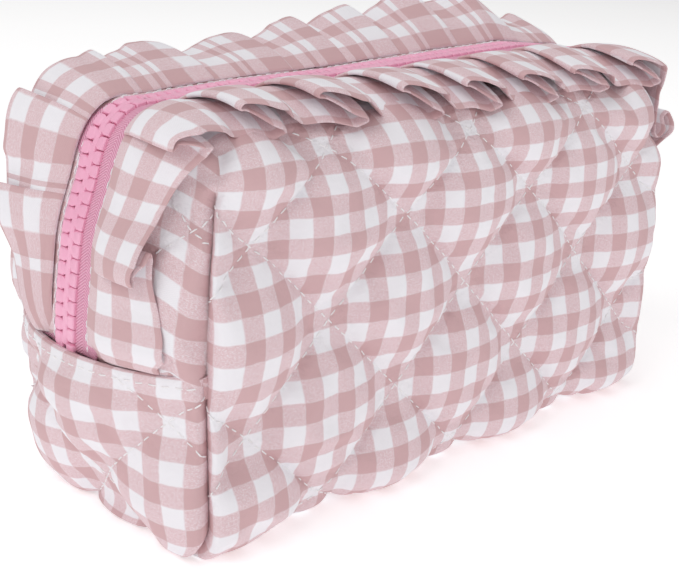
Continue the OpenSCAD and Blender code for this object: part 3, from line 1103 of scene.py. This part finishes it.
def layStitches(tree, lines, seed):
    # dashes along each line, laid on the cloth under it
    rng = np.random.default_rng(seed)
    places = []
    for line in lines:
        line = np.asarray(line, float)
        steps = np.linalg.norm(np.diff(line, axis=0), axis=1)
        s = np.concatenate([[0], np.cumsum(steps)])
        at = 0.6
        while at + stitch["long"] < s[-1]:
            long = stitch["long"] * rng.uniform(0.85, 1.12)
            tips = [np.array([np.interp(t, s, line[:, k]) for k in range(3)]) for t in (at, at + long)]
            middle = (tips[0] + tips[1]) / 2
            hit, normal, _, _ = tree.find_nearest(Vector(middle), 6)
            at += long + stitch["gap"] * rng.uniform(0.8, 1.25)
            if hit is None:
                continue
            x = tips[1] - tips[0]
            z = np.array(normal)
            x = x - z * (x @ z)
            x /= max(np.linalg.norm(x), 1e-9)
            y = np.cross(z, x)
            x = x + y * rng.normal(0, 0.07)
            x /= np.linalg.norm(x)
            y = np.cross(z, x)
            origin = np.array(hit) + z * stitch["stand"] + y * rng.normal(0, 0.1)
            places.append(standing(origin, x, y, z))
    return places


def stitchRuns(columns, rows, crossing, spot):
    # the stitched lines across a grid, as runs of points; spot gives nothing where a line isn't sewn
    lines = []
    for way in (1, -1):
        starts = [(c, 0) for c in range(columns + 1)]
        starts += [(0 if way > 0 else columns, r) for r in range(1, rows + 1)]
        for c, r in starts:
            if ((c - crossing[0]) - way * (r - crossing[1])) % quilt["repeat"]:
                continue
            line = []
            while 0 <= c <= columns and r <= rows:
                line.append(spot(c, r))
                c, r = c + way, r + 1
            line = [p for p in line if p is not None]
            if len(line) > 2:
                lines.append(line)
    return lines


def quiltLines(half, side):
    idx, nt, ne, final = half["index"], half["nt"], half["ne"], half["final"]
    lines = stitchRuns(half["nx"], half["ny"], quilt["crossing"][side],
                       lambda i, r: final[idx[("f", i, r)]] if r else None)
    for end in (-1, 1):
        lines += stitchRuns(nt, ne, quilt["endCrossing"], lambda c, k: final[idx[(end, c, k)]] if c else None)
    return lines


def zipRun(half):
    # one row of topstitching, just back from the fold
    idx, nx, ne, final = half["index"], half["nx"], half["ne"], half["final"]
    keys = [(-1, 0, k) for k in range(ne - 2, 0, -1)] + [("f", i, 0) for i in range(nx + 1)]
    keys += [(1, 0, k) for k in range(1, ne - 1)]
    line = np.array([final[idx[key]] for key in keys])
    line[:, 1] += np.sign(line[:, 1]) * stitch["back"]
    return line


for side, word in sides:
    cover, half = coverPieces[word]
    places = layStitches(surfaceOf(cover), quiltLines(half, side) + [zipRun(half)], 40 + side)
    seams = strew(word + "_stitching", strand, places, whiteThread, lean=False)
    joinBlend(seams)
    joinBlend(cover)
    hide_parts(word + "_cover", word + "_wadding", word + "_zip_hem",
                *(["base_cover", "base_wadding"] if side < 0 else []))
print("stitching ready")

for end, word in ends:
    piece, final = panels[word]
    lines = stitchRuns(panel["across"], panel["down"], panel["crossing"],
                       lambda c, r: final[panelAt(c, r)] if r else None)
    hemLine = np.array([final[panelAt(c, 1)] for c in range(1, panel["across"])])
    places = layStitches(surfaceOf(piece), lines + [hemLine], 60 + end)
    seams = strew(word + "_end_stitching", strand, places, whiteThread, lean=False)
    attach(seams, "base")
print("end stitching ready")

frill = {
    "wide": 26.0, "thick": 0.9, "across": 11,
    "seam": {-1: 10.4, 1: 6.6},           # from the zip's middle line
    "reach": {-1: (1.06, 0.9), 1: (0.92, 1.1)},   # share of the width at the under fold and at the upper fold
    "follow": {-1: 1.0, 1: 0.35},         # how far the frill falls with the wall under it
    "squeeze": (0.07, 0.93, 1.45),        # pleat height at the seam, what the edge adds, and how late
    "flutter": 0.56, "tuck": 2.6,         # the edge's wobble, and how far the foot sinks behind the hem
    # where each pleat's fold stands along the zip, and how far the cloth turns back under it
    "frontTips": ((7, 4), (33, 6.5), (67, 4.5), (93.5, 13), (123.5, 14), (154.5, 13.5), (181, 12),
                  (209.5, 13.5), (238, 14), (270, 13), (300, 8), (323, 6)),
    "backTips": ((18, 5), (43, 10), (75, 12), (107, 12), (142, 13), (170, 12), (193, 11), (217, 12),
                 (248, 13), (273, 11), (291, 9), (312, 9)),
    # distance along the zip from the left end, and the height, angle or width there
    "frontTall": ((0, 0.25), (9, 0.5), (18, 0.9), (50, 1.0), (90, 1.3), (343, 1.3)),
    "backTall": ((0, 0.6), (90, 0.6), (140, 0.7), (200, 0.9), (343, 0.8)),
    "frontLift": ((0, 0), (343, 0)),
    "backLift": ((0, 4), (20, 8), (40, 12), (63, 8), (75, 2), (84, 9), (107, 4), (138, 5), (185, 15),
                 (213, 22), (240, 22), (262, 2), (285, -4), (343, -2)),
    "frontWide": ((0, 25), (12, 25), (30, 19.5), (45, 20), (60, 24), (72, 26), (285, 26), (305, 23),
                  (343, 15)),
    "backWide": ((0, 7), (12, 11), (30, 17), (41, 21), (63, 22), (75, 22), (95, 24), (240, 25), (262, 21),
                 (300, 19), (343, 14)),
}


def frillBase(side, s, w, lift):
    # the flat frill before pleating: w runs out from its seam
    middle, along, out = onPath(s)
    lift = np.radians(np.interp(s, *zip(*lift)))
    y = frill["seam"][side] + w * np.cos(lift)
    topDrop = bag["shoulder"] - np.sqrt(np.maximum(bag["shoulder"] ** 2 - np.clip(y - 23, 0, 19.5) ** 2, 0))
    endDrop = bag["bulge"] * ((y / 43) ** 2 - (8 / 43) ** 2)
    share = out[:, 2] ** 2
    drop = (topDrop * share + endDrop * (1 - share)) * frill["follow"][side]
    up = zipLine["cover"] + 0.1 - edgeSink(w + 1) + 0.5 * smoothstep(w, 0, 4) + w * np.sin(lift) - drop
    up = up - frill["tuck"] * (1 - smoothstep(s, 0, 9))
    return middle + out * up[:, None] + np.stack([0 * y, side * y, 0 * y], 1)


def pleatCurve(tips, seed, under, over):
    # the folded line seen along the frill's edge: distance along the zip, height, and share of the width
    rng = np.random.default_rng(seed)
    marks = []
    last = -14.0
    for tip, back in tips:
        tall = rng.uniform(0.85, 1.15)
        gap = tip - last
        low = last + min(9.5, 0.42 * gap)
        if last > 0:
            marks += [(last + 3.2, 4.4 * tall, 1), (last + 0.5 * (low - last) + 2.6, 2.3, 1)]
        if tip - low > 6:
            marks += [(low + 1.5, 0.55, 1)]
        if tip - low > 16:
            marks += [((low + tip) / 2, 0.35, 1)]
        marks += [(tip - 2.5, 0.4, under), (tip - 0.4, 0.8, under),
                  (tip + 1.1, 2.2, under), (tip - 0.8, 3.5, under),
                  (tip - 0.35 * back, 3.8 * tall, (under + 1) / 2), (tip - 0.8 * back, 4.3 * tall, over),
                  (tip - back, 4.6 * tall, over), (tip - back - 1.2, 5.5 * tall, over),
                  (tip - back + 0.4, 6.5 * tall, over), (tip - 0.6 * back, 7.1 * tall, (over + 1) / 2),
                  (tip - 0.25 * back, 6.9 * tall, 1), (tip + 0.3, 6.3 * tall, 1)]
        last = tip
    end = pathLength - 1.0
    marks += [(last + 4, 4.0, 1), (last + 8, 1.6, 1), (min(last + 12, end - 1.5), 0.6, 1), (end, 0.5, 1)]
    return np.array([(1.0, 0.5, 1)] + [m for m in marks if m[0] > 0.8])


def throughMarks(marks, each):
    # a smooth line through the marks
    p = np.concatenate([[2 * marks[0] - marks[1]], marks, [2 * marks[-1] - marks[-2]]])
    line = []
    for k in range(1, len(p) - 2):
        a, b, c, d = p[k - 1:k + 3]
        for t in np.arange(each) / each:
            square, cube = 2 * a - 5 * b + 4 * c - d, 3 * b - a - 3 * c + d
            line.append(0.5 * (2 * b + (c - a) * t + square * t * t + cube * t ** 3))
    return np.array(line + [marks[-1]])


for side, word in sides:
    line = throughMarks(pleatCurve(frill[word + "Tips"], 70 + side, *frill["reach"][side]), 3)
    clothRun = np.concatenate([[0], np.cumsum(np.linalg.norm(np.diff(line[:, :2], axis=0), axis=1))])
    across = np.linspace(0, frill["wide"], frill["across"])
    rows = []
    if side > 0:
        # the back frill is pleated the other way, as the strip runs on round the zip
        line = np.stack([pathLength - line[:, 0], line[:, 1], line[:, 2]], 1)[::-1]
    seamTall, edgeTall, late = frill["squeeze"]
    for w in across:
        share = w / frill["wide"]
        squeeze = (seamTall + edgeTall * share ** late) * np.interp(line[:, 0], *zip(*frill[word + "Tall"]))
        s = np.clip(line[:, 0], 0.4, pathLength - 0.4)
        flutter = share * ripple(np.stack([s, 0 * s, 0 * s + w * 0.5], 1), 60, 90 + side) * frill["flutter"]
        wide = np.interp(s, *zip(*frill[word + "Wide"])) * share
        wide = wide * (1 + (line[:, 2] - 1) * share)
        at = frillBase(side, s, wide, frill[word + "Lift"])
        ahead = frillBase(side, s, wide + 0.5, frill[word + "Lift"]) - at
        up = np.cross(onPath(s)[1], ahead) * side
        up /= np.linalg.norm(up, axis=1, keepdims=True)
        rows.append(at + up * (line[:, 1] * squeeze + flutter)[:, None])
    faces, uv = weave(len(across), len(line), lambda r, c: (clothRun[c], across[r]), side > 0)
    piece = makeMesh(word + "_pleated_frill", np.concatenate(rows), faces, frillGingham, uv)
    thicken(piece, frill["thick"])
    subdivide(piece)
    joinBlend(piece)
    word + "_quilt"
    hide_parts(word + "_frill")
print("frills ready")

for name in ("slider_body", "slider_bridge", "slider_lock", "pull_tab"):
    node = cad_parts[name]
    node.data.materials.clear()
    node.data.materials.append(enamel)

binding = {"wide": 6.0, "thick": 1.3, "bevel": 0.5, "low": 13.0, "high": 50.0, "corner": (93.2, 33.8)}
middle = (binding["low"] + binding["high"]) / 2
for sideX, endWord in ends:
    for sideY, sideWord in sides:
        # a folded tape that stands in from the corner, over the raw seam
        strip = startBox((binding["wide"], binding["thick"], binding["high"] - binding["low"]))
        bpy.ops.mesh.bevel(offset=binding["bevel"] * mm, segments=2, affect="EDGES")
        bpy.ops.mesh.select_all(action="SELECT")
        bpy.ops.mesh.subdivide(number_cuts=4)
        bpy.ops.object.mode_set(mode="OBJECT")
        co = pointsOf(strip)
        co[:, 1] += 0.5 * np.sin(co[:, 2] * 0.33 + sideX) * smoothstep(-co[:, 0], -3, 3)
        turn = math.atan2(sideY, sideX)
        co = np.stack([co[:, 0] * math.cos(turn) - co[:, 1] * math.sin(turn) + sideX * binding["corner"][0],
                       co[:, 0] * math.sin(turn) + co[:, 1] * math.cos(turn) + sideY * binding["corner"][1],
                       co[:, 2] + middle], 1)
        setPoints(strip, leaned(co))
        strip.name = "_".join(["seam_binding", endWord, sideWord])
        strip.data.materials.append(bindingWeave)
        only(strip)
        bpy.ops.object.shade_smooth_by_angle(angle=math.radians(40))
        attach(strip, "base")
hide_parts("seam_bindings")

tail = {"near": 1.2, "far": 12.4, "top": 53.5, "low": 40.5, "x": 105.6, "rows": 7, "columns": 5}
for end, word in ends:
    points, faces, uv, rows, columns = [], [], [], tail["rows"], tail["columns"]
    for side in (-1, 1):
        first = len(points)
        for r in range(rows):
            for c in range(columns):
                y = tail["near"] + (tail["far"] - tail["near"]) * c / (columns - 1)
                z = tail["top"] + (tail["low"] - tail["top"]) * r / (rows - 1)
                x = tail["x"] - 0.9 * (y / 12) ** 2 - 0.25 * r / rows + 0.2 * math.sin(y + r)
                points.append((end * x, side * y, z))
        more = weave(rows, columns, lambda r, c: (points[first + r * columns + c][1] * side,
                                                  points[first + r * columns + c][2]), side != end, first)
        faces += more[0]
        uv += more[1]
    piece = makeMesh(word + "_tape_tails", points, faces, tapeWeave, uv)
    thicken(piece, tapeSize["thick"])
    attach(piece, "base")
    word + "_end_inner_quilt"
    if end < 0:
        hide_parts("tape_tails")

bpy.ops.mesh.primitive_plane_add(size=60, location=(0, 0, 0))
floor = bpy.context.object
floor.name = "floor"
floor.data.materials.append(floorWhite)

lamps = {
    "window": {"place": (-1.5, -0.1, 1.5), "size": 1.3, "power": 13},
    "front": {"place": (0.2, -1.9, 1.1), "size": 2.0, "power": 8.5},
    "top": {"place": (0.3, 0.6, 2.0), "size": 1.8, "power": 9.5},
}
for name, lamp in lamps.items():
    data = bpy.data.lights.new(name, "AREA")
    data.size, data.energy = lamp["size"], lamp["power"]
    light = bpy.data.objects.new(name, data)
    light.location = lamp["place"]
    light.rotation_mode = "QUATERNION"
    light.rotation_quaternion = (Vector((0, 0, 0.06)) - Vector(lamp["place"])).to_track_quat("-Z", "Y")
    bpy.context.scene.collection.objects.link(light)
world = bpy.data.worlds.new("studio")
world.use_nodes = True
background = next(n for n in world.node_tree.nodes if n.type == "BACKGROUND")
background.inputs["Color"].default_value = (1.0, 0.99, 0.985, 1.0)
background.inputs["Strength"].default_value = 0.38
bpy.context.scene.world = world
print("lights ready")
